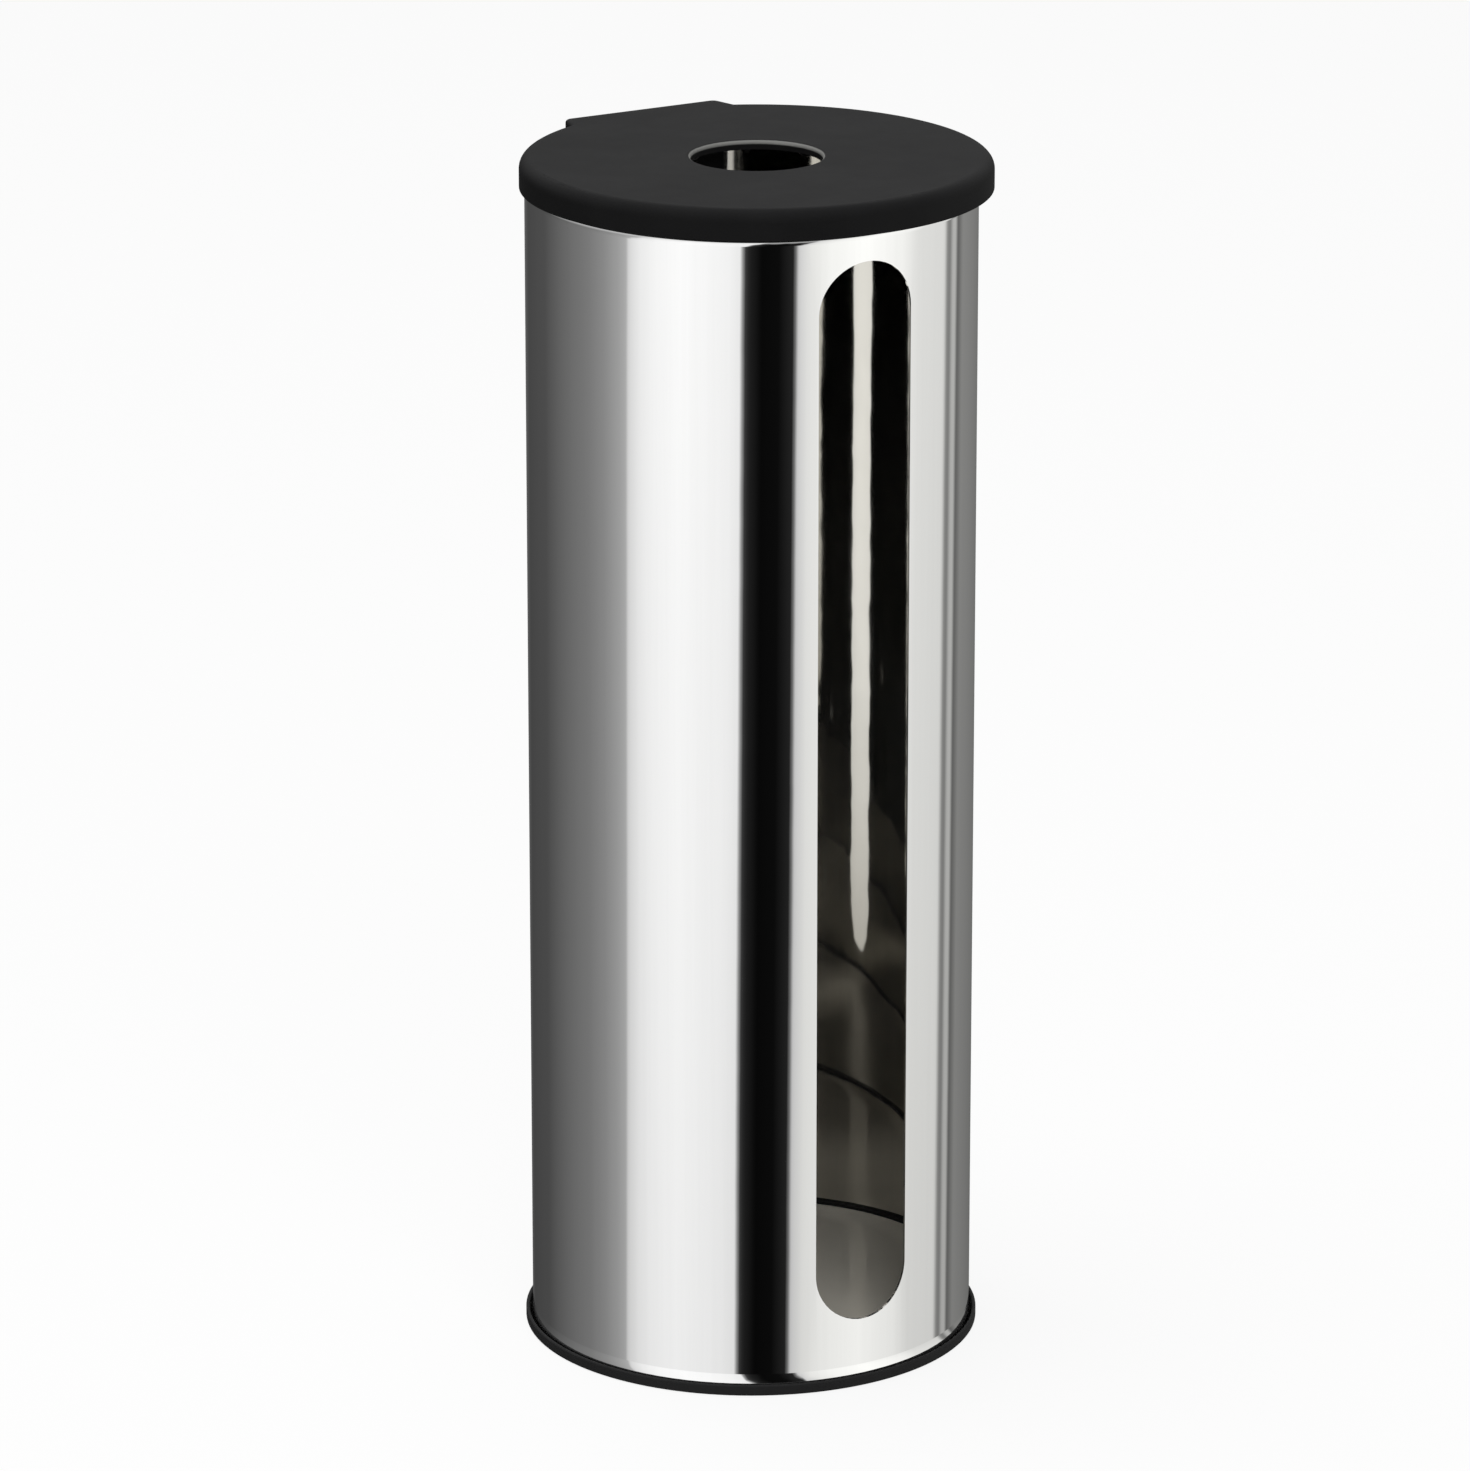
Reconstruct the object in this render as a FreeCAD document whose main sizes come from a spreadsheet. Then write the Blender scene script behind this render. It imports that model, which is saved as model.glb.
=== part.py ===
import FreeCAD, Part
import math
import os
import Sketcher

# Toilet roll storage holder: a slotted steel tube on a black base ring, with a hinged black lid.
# Millimetres. The origin is on the tube's axis at the floor, the slot faces -Y, the hinge is at +Y.

SIZES = {
    # Steel tube
    "tube_radius": 67.0,
    "tube_wall": 0.8,
    "tube_length": 354.8,
    "flare_rise": 5.0,
    "flare_out": 0.9,
    "rim_rise": 2.5,
    "rim_in": 0.9,
    "slot_width": 31.0,
    "slot_foot": 19.5,
    "slot_head": 8.9,
    "wall_hole_radius": 2.6,
    "wall_hole_low": 60.0,
    "wall_hole_pitch": 220.0,
    # Base ring under the tube
    "ring_lip": 1.1,
    "ring_height": 3.4,
    "ring_floor": 1.2,
    "foot_round": 0.6,
    "groove_gap": 0.1,
    "curb_wall": 1.6,
    "curb_height": 13.2,
    "shelf_width": 12.0,
    "shelf_height": 10.3,
    "shelf_wall": 1.6,
    # Pressed floor plate
    "plate_gap": 0.3,
    "plate_wall": 0.7,
    "dish_width": 9.0,
    "dish_rise": 1.5,
    # Lid
    "lid_overhang": 3.0,
    "lid_forward": 3.0,
    "lid_height": 9.0,
    "lid_wall": 2.3,
    "lid_edge_round": 3.6,
    "lid_gap": 0.4,
    "hole_radius": 19.5,
    "hole_round": 1.2,
    "collar_wall": 2.0,
    "collar_drop": 0.6,
    "tab_width": 52.0,
    "tab_flare": 2.5,
    "tab_corner": 2.5,
    "tab_edge_round": 1.0,
    "spigot_gap": 1.2,
    "spigot_wall": 1.8,
    "spigot_depth": 4.0,
    "spigot_break": 64.0,
    "rib_count": 8,
    "rib_wall": 1.6,
    "rib_depth": 2.4,
    "rib_seat": 8.0,
    # Hinge
    "pin_radius": 1.5,
    "pin_chamfer": 0.3,
    "pin_recess": 0.3,
    "pin_seat_gap": 0.02,
    "barrel_gap": 0.05,
    "barrel_wall": 1.05,
    "knuckle_width": 30.0,
    "knuckle_gap": 0.6,
    "knuckle_root": 22.0,
    "ear_width": 3.5,
    "ear_reach": 4.5,
    "sweep_gap": 0.4,
    "bracket_width": 49.0,
    "bracket_length": 36.0,
    "bracket_wall": 2.2,
    "bracket_gap": 0.1,
    "bracket_corner": 4.0,
    # Rivets that hold the hinge bracket
    "rivet_angle": 14.0,
    "rivet_inset": 7.0,
    "rivet_radius": 1.6,
    "rivet_hole_gap": 0.05,
    "rivet_head_radius": 3.0,
    "rivet_head_height": 0.9,
    "rivet_seat_gap": 0.1,
}

# Places worked out from the sizes
TUBE_INNER = "(Sizes.tube_radius - Sizes.tube_wall)"
TUBE_BOTTOM = "Sizes.ring_floor"
TUBE_TOP = "(Sizes.ring_floor + Sizes.tube_length)"
FLARE_RADIUS = "(Sizes.tube_radius + Sizes.flare_out)"
FLARE_TOP = "(Sizes.ring_floor + Sizes.flare_rise)"
FLARE_BEND = "((Sizes.flare_rise^2 + Sizes.flare_out^2) / (2 * Sizes.flare_out))"
RIM_FOOT = f"({TUBE_TOP} - Sizes.rim_rise)"
RIM_INNER = f"({TUBE_INNER} - Sizes.rim_in)"
RIM_BEND = "((Sizes.rim_rise^2 + Sizes.rim_in^2) / (2 * Sizes.rim_in))"
SLOT_HALF = "(Sizes.slot_width / 2)"
SLOT_LOW = f"({TUBE_BOTTOM} + Sizes.slot_foot + {SLOT_HALF})"
SLOT_HIGH = f"({TUBE_TOP} - Sizes.slot_head - {SLOT_HALF})"

GROOVE_OUTER = f"({FLARE_RADIUS} + Sizes.groove_gap)"
RING_OUTER = f"({GROOVE_OUTER} + Sizes.ring_lip)"
GROOVE_INNER = f"({TUBE_INNER} - Sizes.groove_gap)"
CURB_INNER = f"({GROOVE_INNER} - Sizes.curb_wall)"
SHELF_INNER = f"({CURB_INNER} - Sizes.shelf_width)"
SHELF_UNDER = "(Sizes.shelf_height - Sizes.shelf_wall)"
LIP_ROUND = "(Sizes.ring_lip / 2)"

PLATE_RADIUS = f"({CURB_INNER} - Sizes.plate_gap)"
DISH_START = f"({PLATE_RADIUS} - Sizes.dish_width)"
DISH_BEND = "((Sizes.dish_width^2 + Sizes.dish_rise^2) / (2 * Sizes.dish_rise))"

LID_BOTTOM = f"({TUBE_TOP} + Sizes.lid_gap)"
LID_RADIUS = "(Sizes.tube_radius + Sizes.lid_overhang)"
LID_INNER = f"({LID_RADIUS} - Sizes.lid_wall)"
LID_CEILING = "(Sizes.lid_height - Sizes.lid_wall)"
LID_INNER_ROUND = "(Sizes.lid_edge_round - Sizes.lid_wall)"
LID_FLAT_RADIUS = f"({LID_RADIUS} - Sizes.lid_edge_round)"
COLLAR_OUTER = "(Sizes.hole_radius + Sizes.collar_wall)"
COLLAR_BOTTOM = f"({LID_CEILING} - Sizes.collar_drop)"
TAB_HALF = "(Sizes.tab_width / 2)"
TAB_ROOT_HALF = f"({TAB_HALF} + Sizes.tab_flare)"
TAB_ROOT = f"(sqrt({LID_FLAT_RADIUS}^2 - {TAB_ROOT_HALF}^2))"
TAB_REAR = "(Sizes.tube_radius + Sizes.lid_forward)"
SPIGOT_OUTER = f"({RIM_INNER} - Sizes.spigot_gap)"
SPIGOT_INNER = f"({SPIGOT_OUTER} - Sizes.spigot_wall)"
SPIGOT_HALF_BREAK = "(Sizes.spigot_break / 2)"

PIN_INSET = (
    "(Sizes.lid_wall + Sizes.knuckle_gap + Sizes.barrel_wall + Sizes.barrel_gap + Sizes.pin_radius)"
)
PIN_Y = f"(Sizes.tube_radius - {PIN_INSET})"
PIN_Z = f"({LID_BOTTOM} + Sizes.lid_height - {PIN_INSET})"
PIN_LID_Y = f"({TAB_REAR} - {PIN_INSET})"
PIN_LID_Z = f"(Sizes.lid_height - {PIN_INSET})"
BORE_RADIUS = "(Sizes.pin_radius + Sizes.barrel_gap)"
BARREL_RADIUS = f"({BORE_RADIUS} + Sizes.barrel_wall)"
KNUCKLE_HALF = "(Sizes.knuckle_width / 2)"
EAR_START = f"({KNUCKLE_HALF} + Sizes.knuckle_gap)"
EAR_END = f"({EAR_START} + Sizes.ear_width)"
TAB_SWEEP = f"sqrt({PIN_INSET}^2 + {PIN_LID_Z}^2)"
NOTCH_FLOOR = f"({PIN_Z} - {TAB_SWEEP} - Sizes.sweep_gap)"
NOTCH_HALF = f"({TAB_ROOT_HALF} + Sizes.sweep_gap)"

BRACKET_OUTER = f"({TUBE_INNER} - Sizes.bracket_gap)"
BRACKET_INNER = f"({BRACKET_OUTER} - Sizes.bracket_wall)"
BRACKET_HALF = "(Sizes.bracket_width / 2)"
BRACKET_TOP = f"({NOTCH_FLOOR} - Sizes.bracket_gap)"
BRACKET_BOTTOM = f"({BRACKET_TOP} - Sizes.bracket_length)"
STEM_FRONT = f"({PIN_Y} - {BARREL_RADIUS})"
STEM_REAR = f"min({PIN_Y} + {BARREL_RADIUS}; sqrt({BRACKET_OUTER}^2 - {KNUCKLE_HALF}^2))"
STEM_FOOT = f"({BRACKET_TOP} - Sizes.knuckle_root)"
STEM_FOOT_FRONT = f"min({STEM_FRONT} + Sizes.barrel_wall; sqrt({BRACKET_INNER}^2 - {KNUCKLE_HALF}^2))"
RIVET_HEIGHT = f"({BRACKET_BOTTOM} + Sizes.rivet_inset)"
RIVET_HOLE = "(Sizes.rivet_radius + Sizes.rivet_hole_gap)"

doc = FreeCAD.newDocument("roll_holder")
sheet = doc.addObject("Spreadsheet::Sheet", "Sizes")
for row, (alias, size) in enumerate(SIZES.items(), start=1):
    sheet.set(f"A{row}", alias)
    sheet.set(f"B{row}", str(size))
    sheet.setAlias(f"B{row}", alias)
doc.recompute()


def value(formula):
    """The present number of a formula, for a sketch's first drawing."""
    return float(sheet.evalExpression(formula))


def minus(formula):
    return f"-({formula})"


def new_body(label):
    body = doc.addObject("PartDesign::Body", label)
    body.Label = label
    return body


def origin_plane(body, role):
    return next(feature for feature in body.Origin.OriginFeatures if feature.Role == role)


def new_sketch(body, name, role, lift=None, turn=None):
    """A sketch on one of the body's own planes, lifted off it or turned about its own Y axis."""
    sketch = body.newObject("Sketcher::SketchObject", name)
    sketch.AttachmentSupport = [(origin_plane(body, role), "")]
    sketch.MapMode = "FlatFace"
    if turn:
        upright = FreeCAD.Vector(0, 1, 0)
        sketch.AttachmentOffset = FreeCAD.Placement(FreeCAD.Vector(), FreeCAD.Rotation(upright, value(turn)))
        sketch.setExpression("AttachmentOffset.Rotation.Angle", turn)
    if lift:
        sketch.setExpression("AttachmentOffset.Base.z", lift)
    return sketch


def bind(sketch, kind, geometry, point, formula):
    """Hold one coordinate of a point at a formula, or on the axis where the formula is 0."""
    if formula == "0":
        axis = -2 if kind == "DistanceX" else -1
        sketch.addConstraint(Sketcher.Constraint("PointOnObject", geometry, point, axis))
        return
    number = sketch.addConstraint(Sketcher.Constraint(kind, -1, 1, geometry, point, value(formula)))
    sketch.setExpression(f"Constraints[{number}]", formula)


def arc_between(start, end, bend):
    """Arc of under a half circle from start to end: it turns left where bend is positive."""
    chord = end - start
    rise = math.sqrt(max(bend * bend - chord.Length ** 2 / 4, 0.0))
    left = FreeCAD.Vector(-chord.y, chord.x, 0).normalize()
    centre = (start + end) / 2 + left * math.copysign(rise, bend)
    first, last = (start, end) if bend > 0 else (end, start)
    angles = [math.atan2(point.y - centre.y, point.x - centre.x) for point in (first, last)]
    circle = Part.Circle(centre, FreeCAD.Vector(0, 0, 1), abs(bend))
    return Part.ArcOfCircle(circle, angles[0], angles[1])


def outline(sketch, stops):
    """Closed loop through stops of (across, up), or (across, up, bend) where an arc leads there."""
    places = [FreeCAD.Vector(value(stop[0]), value(stop[1]), 0) for stop in stops]
    ends = []
    for index, stop in enumerate(stops):
        start, end = places[index - 1], places[index]
        if len(stop) == 2:
            geometry = sketch.addGeometry(Part.LineSegment(start, end), False)
            ends.append((geometry, 1, 2))
            continue
        bend = value(stop[2])
        geometry = sketch.addGeometry(arc_between(start, end, bend), False)
        ends.append((geometry, 1, 2) if bend > 0 else (geometry, 2, 1))
        radius = stop[2] if bend > 0 else minus(stop[2])
        number = sketch.addConstraint(Sketcher.Constraint("Radius", geometry, abs(bend)))
        sketch.setExpression(f"Constraints[{number}]", radius)
    for index, stop in enumerate(stops):
        geometry, _, last = ends[index]
        following, first, _ = ends[(index + 1) % len(stops)]
        sketch.addConstraint(Sketcher.Constraint("Coincident", geometry, last, following, first))
        bind(sketch, "DistanceX", geometry, last, stop[0])
        bind(sketch, "DistanceY", geometry, last, stop[1])


def circle(sketch, across, up, radius):
    centre = FreeCAD.Vector(value(across), value(up), 0)
    geometry = sketch.addGeometry(Part.Circle(centre, FreeCAD.Vector(0, 0, 1), value(radius)), False)
    bind(sketch, "DistanceX", geometry, 3, across)
    bind(sketch, "DistanceY", geometry, 3, up)
    number = sketch.addConstraint(Sketcher.Constraint("Radius", geometry, value(radius)))
    sketch.setExpression(f"Constraints[{number}]", radius)


def revolve(body, name, sketch):
    feature = body.newObject("PartDesign::Revolution", name)
    feature.Profile = sketch
    feature.ReferenceAxis = (sketch, ["V_Axis"])
    feature.Angle = 360
    return feature


def pad(body, name, sketch, length, symmetric=False):
    feature = body.newObject("PartDesign::Pad", name)
    feature.Profile = sketch
    feature.setExpression("Length", length)
    if symmetric:
        feature.SideType = "Symmetric"
    return feature


def pocket(body, name, sketch, length, reverse=False, symmetric=False):
    """Cut along the sketch's back, or along its front where reverse is set: it has to take material."""
    doc.recompute()
    before = body.Shape.Volume
    feature = body.newObject("PartDesign::Pocket", name)
    feature.Profile = sketch
    feature.setExpression("Length", length)
    feature.Reversed = reverse
    if symmetric:
        feature.SideType = "Symmetric"
    doc.recompute()
    if not body.Shape.Volume < before:
        raise RuntimeError(f"{name} cuts nothing")
    return feature


def mirror_across(body, name, feature):
    """Repeat a feature on the other side of the part's middle plane."""
    copy = body.newObject("PartDesign::Mirrored", name)
    copy.Originals = [feature]
    copy.MirrorPlane = (origin_plane(body, "YZ_Plane"), [""])
    body.Tip = copy
    return copy


def round_edges(body, name, base, radius, chosen):
    """Fillet the edges of a feature that the test picks."""
    doc.recompute()
    edges = [f"Edge{n}" for n, edge in enumerate(base.Shape.Edges, start=1) if chosen(edge)]
    feature = body.newObject("PartDesign::Fillet", name)
    feature.Base = (base, edges)
    feature.setExpression("Radius", radius)
    return feature


def make_body_tube():
    """Thin tube, flared at its foot and rolled in at its rim, with a front window and a hinge notch."""
    body = new_body("body_tube")
    wall = new_sketch(body, "tube_profile", "XZ_Plane")
    outline(wall, [
        (FLARE_RADIUS, TUBE_BOTTOM),
        ("Sizes.tube_radius", FLARE_TOP, minus(FLARE_BEND)),
        ("Sizes.tube_radius", RIM_FOOT),
        ("(Sizes.tube_radius - Sizes.rim_in)", TUBE_TOP, RIM_BEND),
        (RIM_INNER, TUBE_TOP),
        (TUBE_INNER, RIM_FOOT, minus(RIM_BEND)),
        (TUBE_INNER, FLARE_TOP),
        (f"({FLARE_RADIUS} - Sizes.tube_wall)", TUBE_BOTTOM, FLARE_BEND),
    ])
    revolve(body, "tube_wall_turned", wall)

    window = new_sketch(body, "slot_outline", "XZ_Plane")
    slot_tip = f"({SLOT_HIGH} + {SLOT_HALF})"
    slot_foot = f"({SLOT_LOW} - {SLOT_HALF})"
    outline(window, [
        (SLOT_HALF, SLOT_HIGH),
        ("0", slot_tip, SLOT_HALF),
        (minus(SLOT_HALF), SLOT_HIGH, SLOT_HALF),
        (minus(SLOT_HALF), SLOT_LOW),
        ("0", slot_foot, SLOT_HALF),
        (SLOT_HALF, SLOT_LOW, SLOT_HALF),
    ])
    pocket(body, "slot", window, RING_OUTER, reverse=True)

    notch = new_sketch(body, "notch_outline", "XZ_Plane")
    outline(notch, [
        (NOTCH_HALF, NOTCH_FLOOR),
        (NOTCH_HALF, LID_BOTTOM),
        (minus(NOTCH_HALF), LID_BOTTOM),
        (minus(NOTCH_HALF), NOTCH_FLOOR),
    ])
    pocket(body, "hinge_notch", notch, RING_OUTER)

    screws = new_sketch(body, "wall_hole_outline", "XZ_Plane")
    circle(screws, "0", "Sizes.wall_hole_low", "Sizes.wall_hole_radius")
    circle(screws, "0", "(Sizes.wall_hole_low + Sizes.wall_hole_pitch)", "Sizes.wall_hole_radius")
    pocket(body, "wall_holes", screws, RING_OUTER)

    drill_for_rivets(body)
    return body


def drill_for_rivets(body):
    """Two radial holes, one each side of the rear middle line."""
    drill = new_sketch(body, f"{body.Label}_rivet_outline", "XZ_Plane", turn="Sizes.rivet_angle")
    circle(drill, "0", RIVET_HEIGHT, RIVET_HOLE)
    hole = pocket(body, f"{body.Label}_rivet_hole", drill, RING_OUTER)
    mirror_across(body, f"{body.Label}_rivet_holes", hole)


def make_base_ring():
    """Ring with a groove for the tube's foot, a curb inside it and a raised shelf that carries the floor."""
    body = new_body("base_ring")
    section = new_sketch(body, "ring_section", "XZ_Plane")
    lip_shoulder = f"(Sizes.ring_height - {LIP_ROUND})"
    outline(section, [
        (CURB_INNER, "0"),
        (f"({RING_OUTER} - Sizes.foot_round)", "0"),
        (RING_OUTER, "Sizes.foot_round", "Sizes.foot_round"),
        (RING_OUTER, lip_shoulder),
        (f"({RING_OUTER} - {LIP_ROUND})", "Sizes.ring_height", LIP_ROUND),
        (GROOVE_OUTER, lip_shoulder, LIP_ROUND),
        (GROOVE_OUTER, "Sizes.ring_floor"),
        (GROOVE_INNER, "Sizes.ring_floor"),
        (GROOVE_INNER, "Sizes.curb_height"),
        (CURB_INNER, "Sizes.curb_height"),
        (CURB_INNER, "Sizes.shelf_height"),
        (SHELF_INNER, "Sizes.shelf_height"),
        (SHELF_INNER, SHELF_UNDER),
        (CURB_INNER, SHELF_UNDER),
    ])
    revolve(body, "ring_turned", section)
    return body


def make_floor_plate():
    """Pressed steel disc that curves up towards its edge, lying on the ring's shelf."""
    body = new_body("floor_plate")
    section = new_sketch(body, "plate_section", "XZ_Plane")
    upper = "(Sizes.shelf_height + Sizes.plate_wall)"
    outline(section, [
        ("0", "Sizes.shelf_height"),
        (DISH_START, "Sizes.shelf_height"),
        (PLATE_RADIUS, "(Sizes.shelf_height + Sizes.dish_rise)", DISH_BEND),
        (PLATE_RADIUS, f"({upper} + Sizes.dish_rise)"),
        (DISH_START, upper, minus(DISH_BEND)),
        ("0", upper),
    ])
    revolve(body, "plate_turned", section)
    return body


def make_lid():
    """Moulded lid: round shell with a finger hole, a straight hinge tab, a spigot, ribs and ears."""
    body = new_body("lid")
    body.setExpression("Placement.Base.y", minus("Sizes.lid_forward"))
    body.setExpression("Placement.Base.z", LID_BOTTOM)

    tab = new_sketch(body, "tab_outline", "XY_Plane")
    outline(tab, [
        (TAB_ROOT_HALF, TAB_ROOT),
        (TAB_HALF, TAB_REAR),
        (minus(TAB_HALF), TAB_REAR),
        (minus(TAB_ROOT_HALF), TAB_ROOT),
    ])
    tab_block = pad(body, "tab_block", tab, "Sizes.lid_height")
    middle = value(f"(({TAB_ROOT} + {TAB_REAR}) / 2)")
    half_height = value("Sizes.lid_height") / 2

    def upright_at_rear(edge):
        return edge.BoundBox.YMin > middle and edge.BoundBox.ZMin < half_height < edge.BoundBox.ZMax

    def on_top_but_front(edge):
        return edge.BoundBox.ZMin > half_height and edge.BoundBox.YMax > middle

    tab_corners = round_edges(body, "tab_corners", tab_block, "Sizes.tab_corner", upright_at_rear)
    round_edges(body, "tab_rim", tab_corners, "Sizes.tab_edge_round", on_top_but_front)

    shell = new_sketch(body, "shell_section", "XZ_Plane")
    outline(shell, [
        ("Sizes.hole_radius", COLLAR_BOTTOM),
        (COLLAR_OUTER, COLLAR_BOTTOM),
        (COLLAR_OUTER, LID_CEILING),
        (LID_FLAT_RADIUS, LID_CEILING),
        (LID_INNER, f"({LID_CEILING} - {LID_INNER_ROUND})", minus(LID_INNER_ROUND)),
        (LID_INNER, "0"),
        (LID_RADIUS, "0"),
        (LID_RADIUS, "(Sizes.lid_height - Sizes.lid_edge_round)"),
        (LID_FLAT_RADIUS, "Sizes.lid_height", "Sizes.lid_edge_round"),
        ("(Sizes.hole_radius + Sizes.hole_round)", "Sizes.lid_height"),
        ("Sizes.hole_radius", "(Sizes.lid_height - Sizes.hole_round)", "Sizes.hole_round"),
    ])
    revolve(body, "shell_turned", shell)

    add_spigot(body)
    add_ribs(body)
    add_hinge_ears(body)
    return body


def add_spigot(body):
    """Broken ring under the lid that drops into the tube's bore, open where the hinge is."""
    ring = new_sketch(body, "spigot_outline", "XY_Plane", lift=minus("Sizes.spigot_depth"))
    outer_end = f"(Sizes.lid_forward + sqrt({SPIGOT_OUTER}^2 - {SPIGOT_HALF_BREAK}^2))"
    inner_end = f"(Sizes.lid_forward + sqrt({SPIGOT_INNER}^2 - {SPIGOT_HALF_BREAK}^2))"
    outline(ring, [
        (minus(SPIGOT_HALF_BREAK), outer_end),
        ("0", f"(Sizes.lid_forward - {SPIGOT_OUTER})", SPIGOT_OUTER),
        (SPIGOT_HALF_BREAK, outer_end, SPIGOT_OUTER),
        (SPIGOT_HALF_BREAK, inner_end),
        ("0", f"(Sizes.lid_forward - {SPIGOT_INNER})", minus(SPIGOT_INNER)),
        (minus(SPIGOT_HALF_BREAK), inner_end, minus(SPIGOT_INNER)),
    ])
    pad(body, "spigot", ring, f"(Sizes.spigot_depth + {LID_CEILING} + Sizes.lid_wall / 2)")


def add_ribs(body):
    """Radial stiffeners from the hole's edge to the skirt, full height where they meet the tube's rim."""
    rib = new_sketch(body, "rib_outline", "XZ_Plane", turn="(180 / Sizes.rib_count)")
    root = "(Sizes.hole_radius + Sizes.collar_wall / 2)"
    tip = f"({LID_RADIUS} - Sizes.lid_wall / 2)"
    under_skin = f"({LID_CEILING} + Sizes.lid_wall / 2)"
    belly = f"({LID_CEILING} - Sizes.rib_depth)"
    seat = f"({tip} - Sizes.rib_seat)"
    outline(rib, [
        (root, COLLAR_BOTTOM),
        (f"({root} + Sizes.rib_depth)", belly),
        (f"({seat} - {belly})", belly),
        (seat, "0"),
        (tip, "0"),
        (tip, f"({LID_CEILING} - {LID_INNER_ROUND})"),
        (LID_FLAT_RADIUS, under_skin),
        (root, under_skin),
    ])
    blade = pad(body, "rib", rib, "Sizes.rib_wall", symmetric=True)
    pattern = body.newObject("PartDesign::PolarPattern", "ribs")
    pattern.Originals = [blade]
    pattern.Axis = (rib, ["V_Axis"])
    pattern.Angle = 360
    pattern.setExpression("Occurrences", "Sizes.rib_count")
    body.Tip = pattern


def add_hinge_ears(body):
    """Hollow under the tab, a window for the bracket's knuckle and two ears that hold the pin."""
    below = minus("Sizes.spigot_depth")
    hollow = new_sketch(body, "tab_hollow_outline", "XY_Plane", lift=below)
    hollow_front = f"({PIN_LID_Y} - Sizes.ear_reach - Sizes.knuckle_gap)"
    hollow_half = f"({TAB_HALF} - Sizes.lid_wall)"
    hollow_rear = f"({TAB_REAR} - Sizes.lid_wall)"
    outline(hollow, [
        (hollow_half, hollow_front),
        (hollow_half, hollow_rear),
        (minus(hollow_half), hollow_rear),
        (minus(hollow_half), hollow_front),
    ])
    depth = f"(Sizes.spigot_depth + {LID_CEILING})"
    pocket(body, "tab_hollow", hollow, depth, reverse=True)

    window = new_sketch(body, "knuckle_window_outline", "XY_Plane", lift=below)
    beyond = f"({TAB_REAR} + Sizes.lid_wall)"
    outline(window, [
        (EAR_START, PIN_LID_Y),
        (EAR_START, beyond),
        (minus(EAR_START), beyond),
        (minus(EAR_START), PIN_LID_Y),
    ])
    pocket(body, "knuckle_window", window, depth, reverse=True)

    ear = new_sketch(body, "ear_outline", "YZ_Plane", lift=EAR_START)
    ear_front = f"({PIN_LID_Y} - Sizes.ear_reach)"
    ear_back = f"({TAB_REAR} - Sizes.lid_wall / 2)"
    ear_top = f"({LID_CEILING} + Sizes.lid_wall / 2)"
    ear_bottom = f"({PIN_LID_Z} - {BARREL_RADIUS} - Sizes.barrel_wall)"
    outline(ear, [
        (ear_front, PIN_LID_Z),
        (PIN_LID_Y, ear_bottom),
        (ear_back, ear_bottom),
        (ear_back, ear_top),
        (ear_front, ear_top),
    ])
    one_ear = pad(body, "ear", ear, "Sizes.ear_width")
    mirror_across(body, "ears", one_ear)

    bore = new_sketch(body, "ear_bore_outline", "YZ_Plane")
    circle(bore, PIN_LID_Y, PIN_LID_Z, "(Sizes.pin_radius + Sizes.pin_seat_gap)")
    pocket(body, "ear_bore", bore, f"(2 * {EAR_END})", symmetric=True)


def make_hinge_bracket():
    """Plate bent to the tube's bore, with a gusseted knuckle that rises into the lid's tab."""
    body = new_body("hinge_bracket")
    plate = new_sketch(body, "bracket_outline", "XY_Plane", lift=BRACKET_BOTTOM)
    outer_end = f"sqrt({BRACKET_OUTER}^2 - {BRACKET_HALF}^2)"
    inner_end = f"sqrt({BRACKET_INNER}^2 - {BRACKET_HALF}^2)"
    outline(plate, [
        (BRACKET_HALF, outer_end),
        (minus(BRACKET_HALF), outer_end, BRACKET_OUTER),
        (minus(BRACKET_HALF), inner_end),
        (BRACKET_HALF, inner_end, minus(BRACKET_INNER)),
    ])
    bent_plate = pad(body, "bent_plate", plate, "Sizes.bracket_length")
    doc.recompute()
    floor = value(BRACKET_BOTTOM)
    side = value(BRACKET_HALF)

    def at_lower_corner(edge):
        box = edge.BoundBox
        return box.ZMax < floor + side and box.XLength < side

    round_edges(body, "plate_corners", bent_plate, "Sizes.bracket_corner", at_lower_corner)

    knuckle = new_sketch(body, "knuckle_outline", "YZ_Plane")
    outline(knuckle, [
        (STEM_REAR, STEM_FOOT),
        (STEM_REAR, BRACKET_TOP),
        (f"({PIN_Y} + {BARREL_RADIUS})", PIN_Z),
        (PIN_Y, f"({PIN_Z} + {BARREL_RADIUS})", BARREL_RADIUS),
        (STEM_FRONT, PIN_Z, BARREL_RADIUS),
        (STEM_FRONT, f"({BRACKET_TOP} - Sizes.knuckle_root / 3)"),
        (STEM_FOOT_FRONT, STEM_FOOT),
    ])
    pad(body, "knuckle", knuckle, "Sizes.knuckle_width", symmetric=True)

    bore = new_sketch(body, "barrel_bore_outline", "YZ_Plane")
    circle(bore, PIN_Y, PIN_Z, BORE_RADIUS)
    pocket(body, "barrel_bore", bore, "(2 * Sizes.knuckle_width)", symmetric=True)
    drill_for_rivets(body)
    return body


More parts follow.
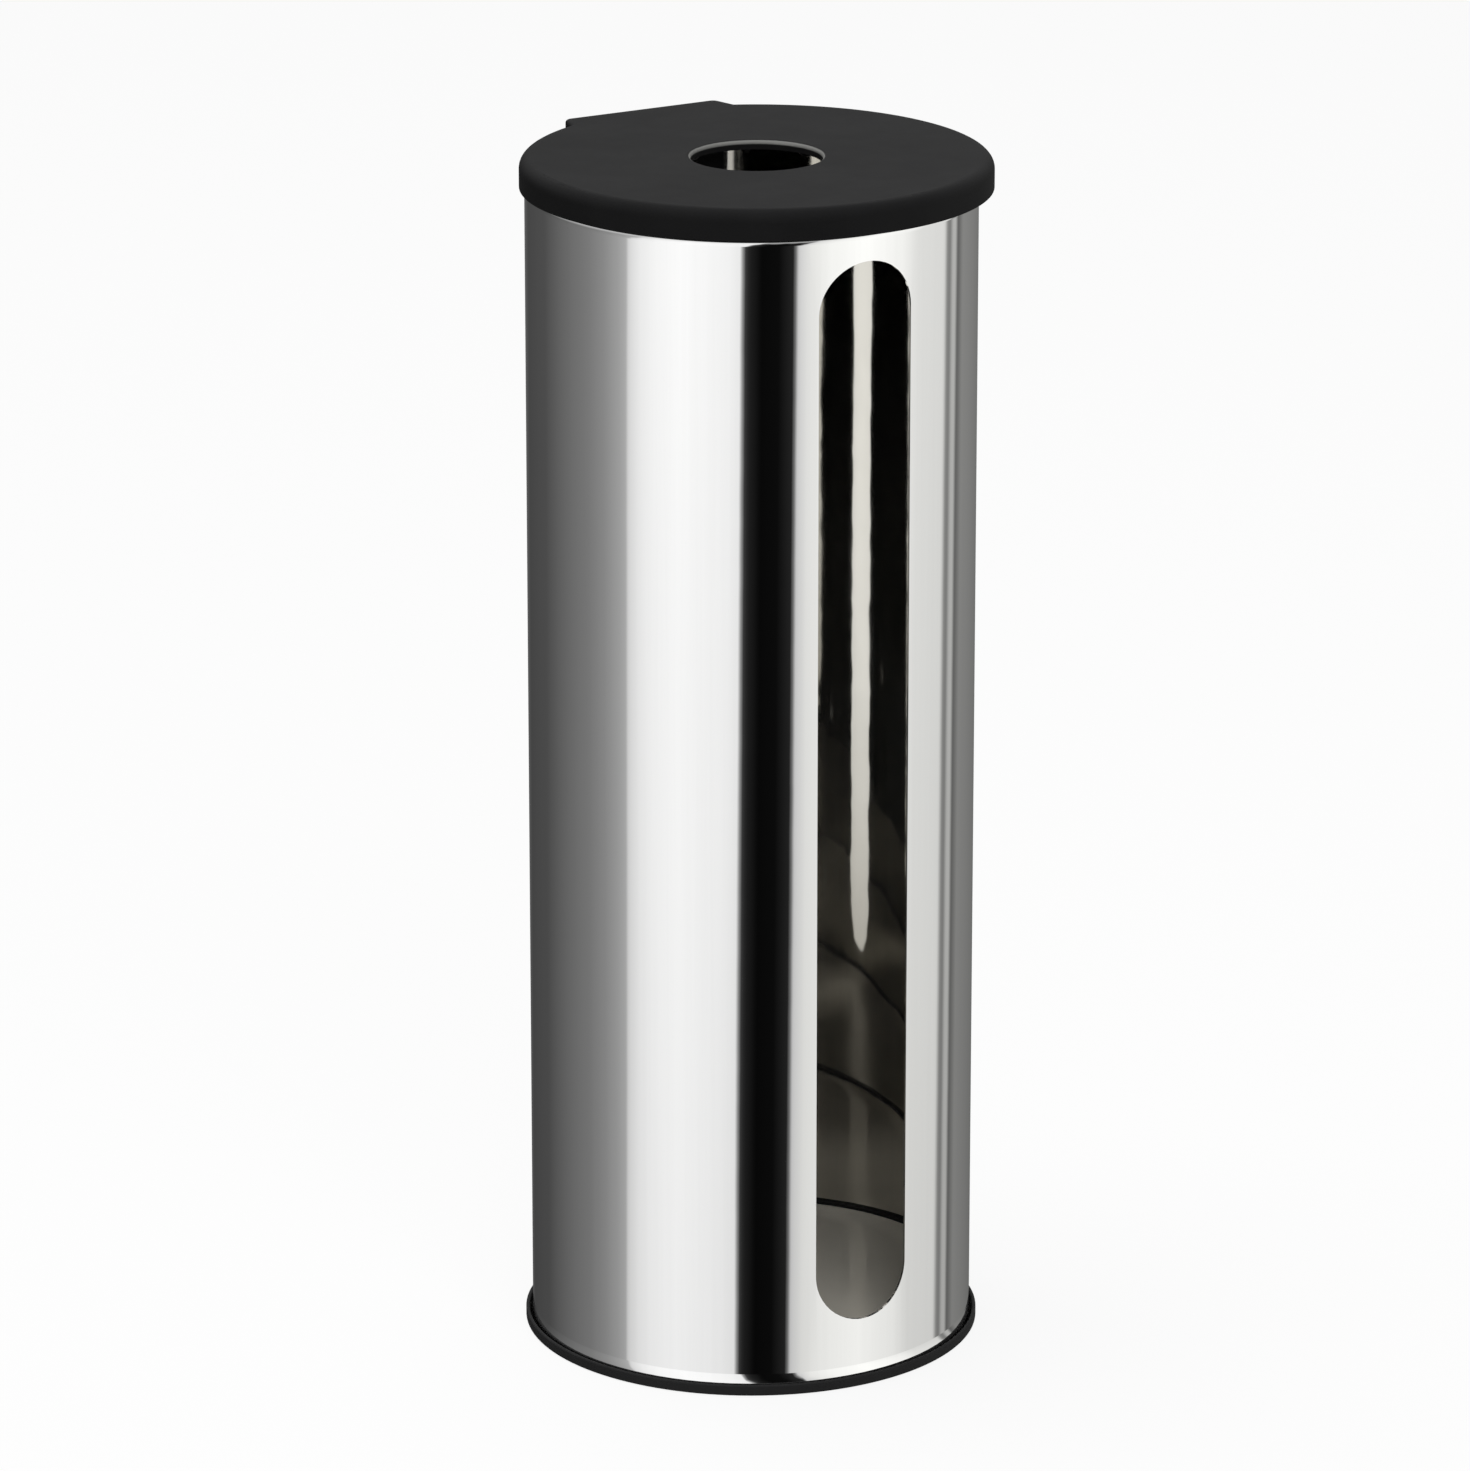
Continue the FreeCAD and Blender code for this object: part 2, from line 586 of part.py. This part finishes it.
def make_hinge_pin():
    """Plain steel pin, fixed in the lid's ears and turning in the bracket's knuckle."""
    body = new_body("hinge_pin")
    body.setExpression("Placement.Base.y", PIN_Y)
    body.setExpression("Placement.Base.z", PIN_Z)
    section = new_sketch(body, "pin_section", "XY_Plane")
    half = f"({EAR_END} - Sizes.pin_recess)"
    shoulder = f"({half} - Sizes.pin_chamfer)"
    tip = "(Sizes.pin_radius - Sizes.pin_chamfer)"
    outline(section, [
        (minus(half), "0"),
        (half, "0"),
        (half, tip),
        (shoulder, "Sizes.pin_radius"),
        (minus(shoulder), "Sizes.pin_radius"),
        (minus(half), tip),
    ])
    rod = revolve(body, "pin_turned", section)
    rod.ReferenceAxis = (section, ["H_Axis"])
    return body


def make_bracket_rivets():
    """Two rivets through the tube and the bracket, domed outside and flat inside."""
    body = new_body("bracket_rivets")
    section = new_sketch(body, "rivet_section", "XY_Plane", lift=RIVET_HEIGHT)
    turn_to = FreeCAD.Rotation(FreeCAD.Vector(0, 0, 1), value("Sizes.rivet_angle"))
    section.AttachmentOffset = FreeCAD.Placement(FreeCAD.Vector(), turn_to)
    section.setExpression("AttachmentOffset.Rotation.Angle", "Sizes.rivet_angle")
    outer_seat = "(Sizes.tube_radius + Sizes.rivet_seat_gap)"
    inner_seat = f"({BRACKET_INNER} - Sizes.rivet_seat_gap)"
    crown = f"({outer_seat} + Sizes.rivet_head_height)"
    foot = f"({inner_seat} - Sizes.rivet_head_height)"
    dome = "((Sizes.rivet_head_radius^2 + Sizes.rivet_head_height^2) / (2 * Sizes.rivet_head_height))"
    outline(section, [
        ("0", foot),
        ("Sizes.rivet_head_radius", foot),
        ("Sizes.rivet_head_radius", inner_seat),
        ("Sizes.rivet_radius", inner_seat),
        ("Sizes.rivet_radius", outer_seat),
        ("Sizes.rivet_head_radius", outer_seat),
        ("0", crown, dome),
    ])
    rivet = revolve(body, "rivet_turned", section)
    mirror_across(body, "rivet_pair", rivet)
    return body


def write_parts(nodes):
    """Check the whole document, then write one file for each piece."""
    doc.recompute()
    failed = [item.Label for item in doc.Objects if {"Invalid", "Error"} & set(item.State)]
    if failed:
        raise RuntimeError(f"failed features: {failed}")
    for node in nodes:
        if node.Shape.isNull() or not node.Shape.isValid():
            raise RuntimeError(f"{node.Label} has no valid shape")
    os.makedirs("parts", exist_ok=True)
    for node in nodes:
        node.Shape.exportStep(f"parts/{node.Label}.step")
        box = node.Shape.BoundBox
        print(node.Label, len(node.Shape.Solids), f"volume {node.Shape.Volume:.1f}", box)


write_parts([
    make_body_tube(),
    make_base_ring(),
    make_floor_plate(),
    make_lid(),
    make_hinge_bracket(),
    make_hinge_pin(),
    make_bracket_rivets(),
])
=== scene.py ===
import math
import bpy
from mathutils import Euler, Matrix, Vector


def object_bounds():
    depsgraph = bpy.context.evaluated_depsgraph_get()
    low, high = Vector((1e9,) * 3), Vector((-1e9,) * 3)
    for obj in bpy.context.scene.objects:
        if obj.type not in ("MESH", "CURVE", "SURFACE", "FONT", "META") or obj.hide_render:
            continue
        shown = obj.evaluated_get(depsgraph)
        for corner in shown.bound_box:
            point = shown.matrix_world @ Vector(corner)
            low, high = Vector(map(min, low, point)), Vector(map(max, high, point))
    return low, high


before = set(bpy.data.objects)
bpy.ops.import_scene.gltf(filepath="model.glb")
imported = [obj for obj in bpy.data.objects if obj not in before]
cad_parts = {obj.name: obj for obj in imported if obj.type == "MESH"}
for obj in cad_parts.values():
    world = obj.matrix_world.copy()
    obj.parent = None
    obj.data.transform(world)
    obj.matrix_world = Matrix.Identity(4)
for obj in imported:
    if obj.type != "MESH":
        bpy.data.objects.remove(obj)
cad_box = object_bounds()

# Camera: metres, degrees, and a focal length in pixels of the square image
CAMERA_PLACE = (-1.1584, -1.9870, 0.9044)
CAMERA_PITCH = 17.35
CAMERA_TURN = 30.12
FOCAL_PIXELS = 8008.0
IMAGE_SIDE = 1471.0
SENSOR = 36.0

# Middle of the tube's thin wall, from its axis
MID_WALL = 0.0666
# Heights between which the bore's painted shade fades out, from its darkened foot to its plain steel
# colour, and its rolling lines scatter less and less light
BORE_SHADE_FULL = 0.03
BORE_SHADE_END = 0.15
LINES_WHOLE = 0.13
LINES_END = 0.21

# Finger hole in the lid
HOLE_Y = -0.003
HOLE_RADIUS = 0.0195
LID_TOP = cad_box[1][2]
# Painted highlight along the edge of the hole: where it is whole and where it ends, outwards from the hole
# and down its wall
EDGE_OUT_WHOLE = 0.0004
EDGE_OUT_END = 0.0007
EDGE_DOWN_WHOLE = 0.001
EDGE_DOWN_END = 0.0014

# Cards, flags and walls that the polished tube reflects, in degrees to the right of the
# photographer's place, each with the brightness there
STUDIO = {
    "rear_wall": [(-180.0, 0.155), (-158.0, 0.066)],
    "left_wall": [(-130.0, 0.083), (-90.0, 0.22), (-80.0, 0.285), (-71.0, 0.38), (-66.2, 0.46)],
    "left_card": [(-64.4, 0.78), (-58.0, 0.95), (-50.0, 1.05), (-36.0, 1.12), (-12.0, 1.03), (-5.6, 0.96)],
    "black_flag": [(-3.6, 0.06), (-1.0, 0.016), (5.0, 0.003), (14.0, 0.004), (22.0, 0.02)],
    "right_card": [(24.0, 0.70), (30.0, 0.9), (40.0, 1.04), (60.0, 1.14), (84.0, 1.0)],
    "right_screen": [(94.0, 0.83), (115.0, 0.78)],
    "lamp_stands": [(118.5, 0.24), (121.0, 0.24), (124.0, 0.5), (126.5, 0.5), (129.5, 0.13)],
    "right_wall": [(136.0, 0.26), (180.0, 0.155)],
}
# The right half of the studio is a little warmer
WARM_FROM = 24.0
WARM_BLUE = 0.975
# Direction of the photographer's place, as an angle about +Z
STUDIO_FRONT = -90.0 - CAMERA_TURN
# Lean of the cards' edges, and their fading towards the table, by the upward part of a reflection
BAND_TOP = -0.232
BAND_FOOT = -0.37
BAND_LEAN = 24.0
FOOT_SHARE = 0.86
# Upward part of a reflection where the cards start to give way to an even ceiling, and where they end
CEILING_START = 0.05
CEILING_WHOLE = 0.4

# Table top: half its side, its gap under the holder, and its share of plain white to the camera
TABLE_REACH = 12.0
TABLE_GAP = 0.0002
TABLE_WHITE = 0.88
# Point that the lamps are aimed at
LAMP_AIM = (0.0, 0.0, 0.15)


def link(tree, start, end):
    tree.links.new(start, end)


def new_material(name):
    material = bpy.data.materials.new(name)
    material.use_nodes = True
    tree = material.node_tree
    return material, tree, tree.nodes["Principled BSDF"]


def stretched_noise(tree, scale, detail=3.0, roughness=0.5):
    """Noise in the part's own metres, with its own scale along each axis."""
    place = tree.nodes.new("ShaderNodeTexCoord")
    stretch = tree.nodes.new("ShaderNodeMapping")
    stretch.inputs["Scale"].default_value = scale
    noise = tree.nodes.new("ShaderNodeTexNoise")
    noise.inputs["Scale"].default_value = 1.0
    noise.inputs["Detail"].default_value = detail
    noise.inputs["Roughness"].default_value = roughness
    link(tree, place.outputs["Object"], stretch.inputs["Vector"])
    link(tree, stretch.outputs["Vector"], noise.inputs["Vector"])
    return noise


def ranged(tree, source, low, high, first, last):
    """The source's low..high mapped to first..last."""
    node = tree.nodes.new("ShaderNodeMapRange")
    for name, number in zip(("From Min", "From Max", "To Min", "To Max"), (low, high, first, last)):
        node.inputs[name].default_value = number
    link(tree, source, node.inputs["Value"])
    return node.outputs["Result"]


def spread(tree, noise, low, high):
    """The noise's middle range mapped to low..high."""
    return ranged(tree, noise.outputs["Fac"], 0.3, 0.7, low, high)


def tint(tree, noise, dark, light):
    """The noise's middle range as a colour between dark and light."""
    ramp = tree.nodes.new("ShaderNodeValToRGB")
    for stop, place, colour in zip(ramp.color_ramp.elements, (0.3, 0.7), (dark, light)):
        stop.position = place
        stop.color = (*colour, 1.0)
    link(tree, noise.outputs["Fac"], ramp.inputs["Fac"])
    return ramp.outputs["Color"]


def bump(tree, source, distance, under=None):
    """Relief of the given depth in metres, on top of another relief where there is one."""
    node = tree.nodes.new("ShaderNodeBump")
    node.inputs["Strength"].default_value = 1.0
    node.inputs["Distance"].default_value = distance
    link(tree, source, node.inputs["Height"])
    if under:
        link(tree, under, node.inputs["Normal"])
    return node.outputs["Normal"]


def feed(tree, socket, source):
    """Link a socket where the source is one, or set it to a number or a colour."""
    if isinstance(source, bpy.types.NodeSocket):
        link(tree, source, socket)
    else:
        socket.default_value = source


def mixed(tree, kind, share, first, second):
    """First where share is 0, second where it is 1."""
    node = tree.nodes.new("ShaderNodeMix")
    node.data_type = kind
    sockets = {socket.name: socket for socket in node.inputs if socket.enabled}
    for name, source in (("Factor", share), ("A", first), ("B", second)):
        feed(tree, sockets[name], source)
    return next(socket for socket in node.outputs if socket.enabled)


def worked_out(tree, operation, first, second):
    """Result of a Math node on two sockets or numbers."""
    node = tree.nodes.new("ShaderNodeMath")
    node.operation = operation
    feed(tree, node.inputs[0], first)
    feed(tree, node.inputs[1], second)
    return node.outputs["Value"]


def mixed_shaders(tree, share, first, second):
    """First shader where share is 0, second where it is 1."""
    node = tree.nodes.new("ShaderNodeMixShader")
    feed(tree, node.inputs["Fac"], share)
    link(tree, first, node.inputs[1])
    link(tree, second, node.inputs[2])
    return node.outputs["Shader"]


def reach_from(tree, axis_y):
    """Distance from an upright axis at x = 0 and the given y, in the part's own metres."""
    place = tree.nodes.new("ShaderNodeTexCoord")
    across = tree.nodes.new("ShaderNodeVectorMath")
    across.operation = "SUBTRACT"
    across.inputs[1].default_value = (0.0, axis_y, 0.0)
    flat = tree.nodes.new("ShaderNodeVectorMath")
    flat.operation = "MULTIPLY"
    flat.inputs[1].default_value = (1.0, 1.0, 0.0)
    reach = tree.nodes.new("ShaderNodeVectorMath")
    reach.operation = "LENGTH"
    link(tree, place.outputs["Object"], across.inputs[0])
    link(tree, across.outputs["Vector"], flat.inputs[0])
    link(tree, flat.outputs["Vector"], reach.inputs[0])
    return reach.outputs["Value"]


def height_of(tree):
    """Height above the table, in the part's own metres."""
    place = tree.nodes.new("ShaderNodeTexCoord")
    parts = tree.nodes.new("ShaderNodeSeparateXYZ")
    link(tree, place.outputs["Object"], parts.inputs["Vector"])
    return parts.outputs["Z"]


def polished_sheet(name):
    """Rolled steel: polished outside with slow unevenness, duller on the bore, most of all at its foot,
    whose colour is darkened as painted shade.
    """
    material, tree, shader = new_material(name)
    lines = stretched_noise(tree, (420.0, 420.0, 5.0), 4.0, 0.6)
    clouds = stretched_noise(tree, (22.0, 22.0, 14.0), 4.0, 0.55)
    sway = stretched_noise(tree, (15.0, 15.0, 4.5), 1.0, 0.4)
    dents = stretched_noise(tree, (25.0, 25.0, 40.0), 2.0, 0.5)
    bore = worked_out(tree, "LESS_THAN", reach_from(tree, 0.0), MID_WALL)
    outer = tint(tree, lines, (0.865, 0.865, 0.862), (0.885, 0.885, 0.882))
    # Painted shade: the bore's warm steel colour, darker towards its foot
    foot = tint(tree, clouds, (0.5, 0.485, 0.45), (0.56, 0.545, 0.51))
    upper = tint(tree, clouds, (0.78, 0.77, 0.745), (0.86, 0.85, 0.825))
    rise = ranged(tree, height_of(tree), BORE_SHADE_FULL, BORE_SHADE_END, 0.0, 1.0)
    inner = mixed(tree, "RGBA", rise, foot, upper)
    link(tree, mixed(tree, "RGBA", bore, outer, inner), shader.inputs["Base Color"])
    gloss = spread(tree, clouds, 0.012, 0.03)
    dull = spread(tree, clouds, 0.03, 0.055)
    link(tree, mixed(tree, "FLOAT", bore, gloss, dull), shader.inputs["Roughness"])
    scatter = spread(tree, lines, 0.94, 0.985)
    below = ranged(tree, height_of(tree), LINES_END, LINES_WHOLE, 0.0, 1.0)
    lined = worked_out(tree, "MULTIPLY", bore, below)
    link(tree, mixed(tree, "FLOAT", lined, 1.0, scatter), shader.inputs["Metallic"])
    slow = bump(tree, sway.outputs["Fac"], 0.00022)
    dented = worked_out(tree, "MULTIPLY", dents.outputs["Fac"], mixed(tree, "FLOAT", bore, 0.2, 1.0))
    link(tree, bump(tree, dented, 0.00012, slow), shader.inputs["Normal"])
    return material


def satin_sheet(name, dark, light, rough_low, rough_high, metal):
    """Satin steel: short rolling lines, clouded gloss."""
    material, tree, shader = new_material(name)
    lines = stretched_noise(tree, (900.0, 40.0, 900.0), 4.0, 0.6)
    clouds = stretched_noise(tree, (40.0, 40.0, 40.0), 4.0, 0.55)
    link(tree, tint(tree, clouds, dark, light), shader.inputs["Base Color"])
    link(tree, spread(tree, lines, rough_low, rough_high), shader.inputs["Roughness"])
    link(tree, bump(tree, lines.outputs["Fac"], 0.000001), shader.inputs["Normal"])
    shader.inputs["Metallic"].default_value = metal
    return material


def hole_highlight(tree):
    """1 on the painted highlight along the edge of the lid's finger hole, fading out up its rounding and
    down its wall.
    """
    edge_whole = HOLE_RADIUS + EDGE_OUT_WHOLE
    edge_end = HOLE_RADIUS + EDGE_OUT_END
    rounding = ranged(tree, reach_from(tree, HOLE_Y), edge_end, edge_whole, 0.0, 1.0)
    wall = ranged(tree, height_of(tree), LID_TOP - EDGE_DOWN_END, LID_TOP - EDGE_DOWN_WHOLE, 0.0, 1.0)
    return worked_out(tree, "MULTIPLY", rounding, wall)


def moulded_plastic(name, dark, light, edge=None):
    """Matt black moulding: a fine spark-eroded grain and faint clouds where it has been handled."""
    material, tree, shader = new_material(name)
    grain = stretched_noise(tree, (2200.0, 2200.0, 2200.0), 2.0, 0.5)
    clouds = stretched_noise(tree, (45.0, 45.0, 45.0), 4.0, 0.6)
    colour = tint(tree, clouds, dark, light)
    if edge:
        # Painted highlight: pale grey mixed into the black plastic where the hole's edge mask is 1
        colour = mixed(tree, "RGBA", edge(tree), colour, (0.23, 0.23, 0.22, 1.0))
    link(tree, colour, shader.inputs["Base Color"])
    link(tree, spread(tree, clouds, 0.5, 0.58), shader.inputs["Roughness"])
    link(tree, bump(tree, grain.outputs["Fac"], 0.00003), shader.inputs["Normal"])
    shader.inputs["Specular IOR Level"].default_value = 0.06
    return material


def dress_nodes():
    """New materials for the CAD nodes, which keep their shapes."""
    mirror_steel = polished_sheet("mirror_steel")
    floor_steel = satin_sheet("floor_steel", (0.84, 0.8, 0.705), (0.9, 0.86, 0.76), 0.38, 0.46, 0.2)
    pin_steel = satin_sheet("pin_steel", (0.5, 0.5, 0.49), (0.6, 0.6, 0.59), 0.22, 0.32, 1.0)
    lid_plastic = moulded_plastic("lid_plastic", (0.009, 0.009, 0.0093), (0.012, 0.012, 0.0123), hole_highlight)
    ring_plastic = moulded_plastic("ring_plastic", (0.024, 0.024, 0.0245), (0.03, 0.03, 0.0305))
    materials = {
        "body_tube": mirror_steel,
        "floor_plate": floor_steel,
        "hinge_pin": pin_steel,
        "bracket_rivets": pin_steel,
        "lid": lid_plastic,
        "base_ring": ring_plastic,
        "hinge_bracket": ring_plastic,
    }
    for name, material in materials.items():
        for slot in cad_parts[name].material_slots:
            slot.material = material


def make_floor():
    """Pale table top, white to the camera but for the soft shadow on it."""
    mesh = bpy.data.meshes.new("floor")
    reach = TABLE_REACH
    corners = [(-reach, -reach, 0), (reach, -reach, 0), (reach, reach, 0), (-reach, reach, 0)]
    mesh.from_pydata(corners, [], [(0, 1, 2, 3)])
    floor = bpy.data.objects.new("floor", mesh)
    bpy.context.scene.collection.objects.link(floor)
    floor.location.z = -TABLE_GAP
    floor.visible_glossy = False
    material, tree, shader = new_material("floor_white")
    clouds = stretched_noise(tree, (3.0, 3.0, 3.0))
    grey = tint(tree, clouds, (0.42, 0.42, 0.42), (0.46, 0.46, 0.46))
    link(tree, grey, shader.inputs["Base Color"])
    shader.inputs["Roughness"].default_value = 0.9
    shader.inputs["Specular IOR Level"].default_value = 0.0
    pale = tree.nodes.new("ShaderNodeBsdfDiffuse")
    pale.inputs["Color"].default_value = (0.95, 0.95, 0.95, 1.0)
    white = tree.nodes.new("ShaderNodeEmission")
    shown = mixed_shaders(tree, TABLE_WHITE, pale.outputs["BSDF"], white.outputs["Emission"])
    rays = tree.nodes.new("ShaderNodeLightPath")
    whole = mixed_shaders(tree, rays.outputs["Is Camera Ray"], shader.outputs["BSDF"], shown)
    link(tree, whole, tree.nodes["Material Output"].inputs["Surface"])
    mesh.materials.append(material)


def make_studio():
    """World: white to the camera, even as soft light, and banded with cards and flags in reflections."""
    world = bpy.data.worlds.new("studio")
    bpy.context.scene.world = world
    world.use_nodes = True
    tree = world.node_tree
    plain = tree.nodes["Background"]
    plain.inputs["Color"].default_value = (1.0, 1.0, 1.0, 1.0)
    plain.inputs["Strength"].default_value = 0.25

    place = tree.nodes.new("ShaderNodeTexCoord")
    turn = tree.nodes.new("ShaderNodeVectorRotate")
    turn.rotation_type = "Z_AXIS"
    turn.inputs["Angle"].default_value = math.radians(-STUDIO_FRONT)
    parts = tree.nodes.new("ShaderNodeSeparateXYZ")
    link(tree, place.outputs["Generated"], turn.inputs["Vector"])
    link(tree, turn.outputs["Vector"], parts.inputs["Vector"])
    upward = parts.outputs["Z"]
    angle = worked_out(tree, "ARCTAN2", parts.outputs["Y"], parts.outputs["X"])
    below_top = worked_out(tree, "SUBTRACT", upward, BAND_TOP)
    lean = worked_out(tree, "MULTIPLY", below_top, math.radians(BAND_LEAN))
    along = worked_out(tree, "SUBTRACT", angle, lean)
    bands = tree.nodes.new("ShaderNodeValToRGB")
    cards_in_turn = [stop for card in STUDIO.values() for stop in card]
    stops = bands.color_ramp.elements
    while len(stops) < len(cards_in_turn):
        stops.new(0.5)
    for stop, (where, bright) in zip(stops, cards_in_turn):
        stop.position = (where + 180.0) / 360.0
        blue = WARM_BLUE if where > WARM_FROM else 1.0
        stop.color = (bright, bright, bright * blue, 1.0)
    link(tree, ranged(tree, along, -math.pi, math.pi, 0.0, 1.0), bands.inputs["Fac"])

    ceiling = (0.8, 0.8, 0.8, 1.0)
    overhead = ranged(tree, upward, CEILING_START, CEILING_WHOLE, 0.0, 1.0)
    whole = mixed(tree, "RGBA", overhead, bands.outputs["Color"], ceiling)
    cards = tree.nodes.new("ShaderNodeBackground")
    link(tree, whole, cards.inputs["Color"])
    link(tree, ranged(tree, upward, BAND_FOOT, BAND_TOP, FOOT_SHARE, 1.0), cards.inputs["Strength"])

    rays = tree.nodes.new("ShaderNodeLightPath")
    white = tree.nodes.new("ShaderNodeBackground")
    white.inputs["Color"].default_value = (1.0, 1.0, 1.0, 1.0)
    plain_light = plain.outputs["Background"]
    reflected = cards.outputs["Background"]
    unscattered = worked_out(tree, "LESS_THAN", rays.outputs["Diffuse Depth"], 0.5)
    mirrored = worked_out(tree, "MULTIPLY", rays.outputs["Is Glossy Ray"], unscattered)
    lit = mixed_shaders(tree, mirrored, plain_light, reflected)
    seen = mixed_shaders(tree, rays.outputs["Is Camera Ray"], lit, white.outputs["Background"])
    link(tree, seen, tree.nodes["World Output"].inputs["Surface"])


def make_lamp(name, place, side, power):
    """Square soft box aimed at the holder, left out of reflections."""
    lamp = bpy.data.lights.new(name, "AREA")
    lamp.shape = "SQUARE"
    lamp.size = side
    lamp.energy = power
    box = bpy.data.objects.new(name, lamp)
    bpy.context.scene.collection.objects.link(box)
    box.location = place
    aim = Vector(LAMP_AIM) - Vector(place)
    box.rotation_euler = aim.to_track_quat("-Z", "Y").to_euler()
    box.visible_glossy = False


def make_camera():
    """The photograph's viewpoint."""
    camera = bpy.data.objects.new("camera", bpy.data.cameras.new("camera"))
    bpy.context.scene.collection.objects.link(camera)
    camera.data.sensor_width = SENSOR
    camera.data.lens = FOCAL_PIXELS / IMAGE_SIDE * SENSOR
    camera.data.clip_end = 60.0
    camera.location = CAMERA_PLACE
    camera.rotation_euler = Euler((math.radians(90.0 - CAMERA_PITCH), 0.0, math.radians(-CAMERA_TURN)))
    bpy.context.scene.camera = camera


dress_nodes()
make_floor()
make_studio()
make_lamp("top_lamp", (-0.6, 0.5, 4.0), 2.6, 100.0)
make_lamp("key_lamp", (-0.35, -1.25, 1.15), 0.9, 8.0)
make_camera()
bpy.context.scene.view_settings.view_transform = "Standard"
